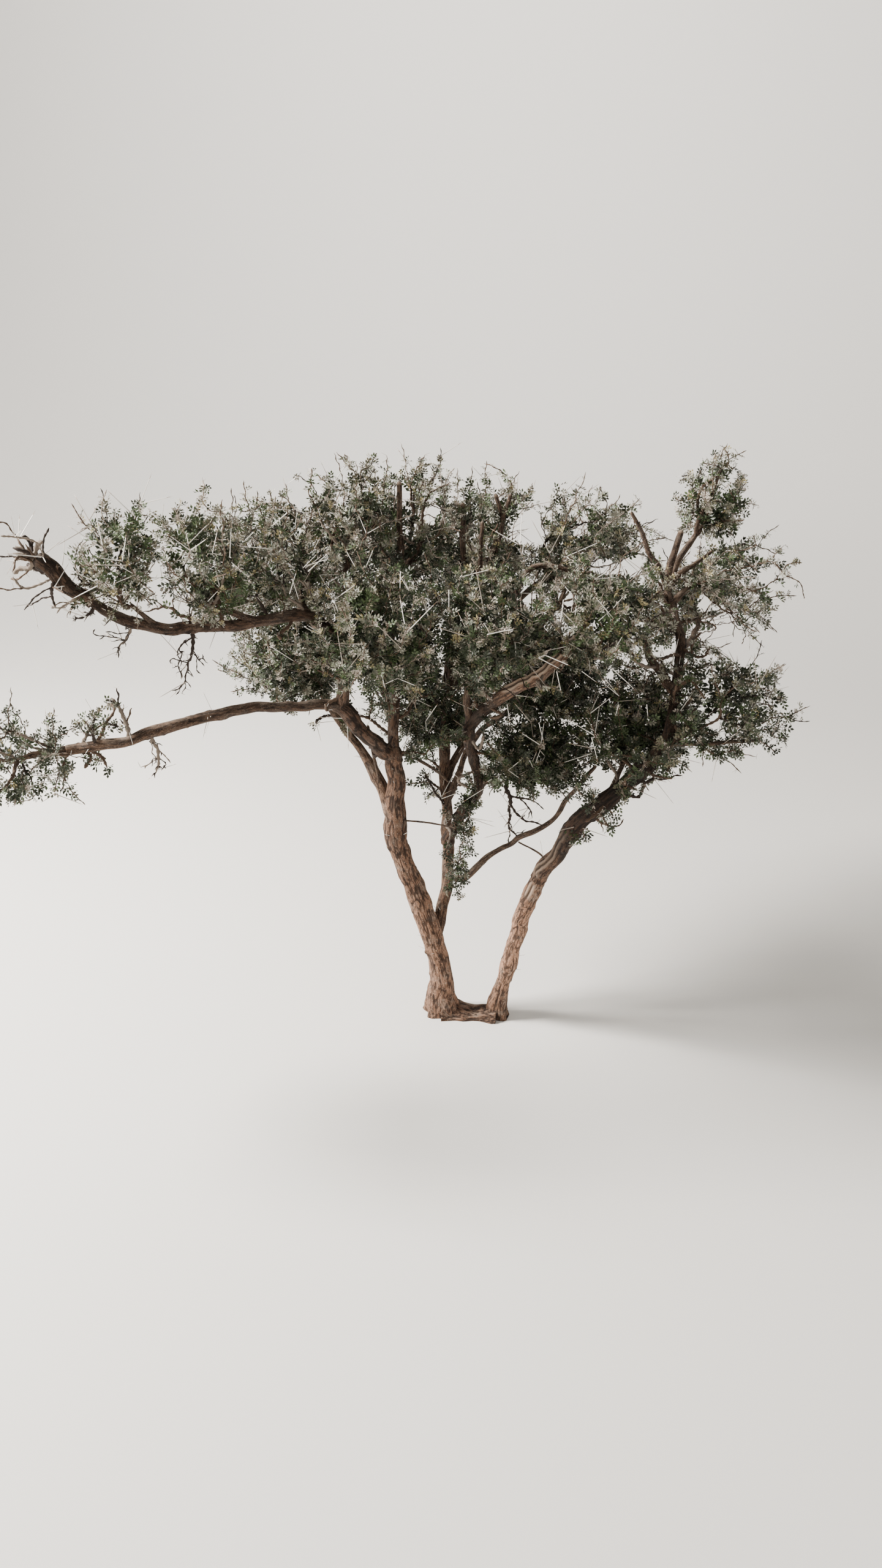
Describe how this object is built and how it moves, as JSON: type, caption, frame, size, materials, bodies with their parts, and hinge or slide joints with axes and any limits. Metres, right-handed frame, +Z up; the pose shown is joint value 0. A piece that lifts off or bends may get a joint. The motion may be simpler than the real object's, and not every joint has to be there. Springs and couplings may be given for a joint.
{
  "type": "acacia tree",
  "caption": "Low thorn acacia with leaning stems from a shared root crown, long bare lower limbs and a wide, ragged crown of fine foliage, rooted in level ground.",
  "frame": {"origin": "on the ground, at the middle of the flat cut under the main trunk", "axes": "+Z up out of the ground, +X to the viewer's right along the crown's widest spread, +Y away from the viewer"},
  "size_m": [1.624, 0.9792, 1.211],
  "materials": {
    "bark": "rough fissured reddish-brown bark, matte",
    "twig_bark": "smoother grey-brown bark of young limbs, matte",
    "foliage": "matte grey-green feathery leaves on thin thorny twigs",
    "dead_twigs": "weathered grey dead twigs with pale thorns, matte"
  },
  "bodies": {
    "root": {"trunk": "bark", "root_crown": "bark", "middle_stem": "bark", "middle_limb": "bark", "middle_limb_bend": "bark", "right_stem": "bark", "right_stem_upper": "bark", "right_bough": "bark", "left_limb": "bark", "lower_left_limb": "bark", "left_riser": "bark", "upper_left_limb": "bark", "leader": "bark", "back_left_bough": "bark", "back_bough": "bark", "outer_left_shoot": "twig_bark", "upper_left_shoot": "twig_bark", "inner_left_branch": "twig_bark", "left_top_bough": "twig_bark", "left_branch": "twig_bark", "front_bough": "twig_bark", "crown_top_bough": "twig_bark", "front_middle_bough": "twig_bark", "middle_low_bough": "twig_bark", "top_right_bough": "twig_bark", "spire_bough": "twig_bark", "far_right_bough": "twig_bark", "low_back_bough": "twig_bark", "right_low_bough": "twig_bark", "right_under_bough": "twig_bark", "under_bough": "twig_bark", "back_right_bough": "twig_bark", "left_back_bough": "twig_bark", "right_back_bough": "twig_bark", "lower_left_foliage": "foliage", "left_knot_twigs": "dead_twigs", "outer_left_foliage": "foliage", "upper_left_foliage": "foliage", "inner_left_foliage": "foliage", "left_top_foliage": "foliage", "left_under_foliage": "foliage", "leader_foliage": "foliage", "front_foliage": "foliage", "crown_top_foliage": "foliage", "front_middle_foliage": "foliage", "middle_low_foliage": "foliage", "middle_right_foliage": "foliage", "top_right_foliage": "foliage", "spire_foliage": "foliage", "far_right_foliage": "foliage", "right_low_foliage": "foliage", "right_under_foliage": "foliage", "under_foliage": "foliage", "low_back_foliage": "foliage", "back_left_foliage": "foliage", "back_foliage": "foliage", "back_right_foliage": "foliage", "left_back_foliage": "foliage", "right_back_foliage": "foliage"}
  },
  "joints": []
}
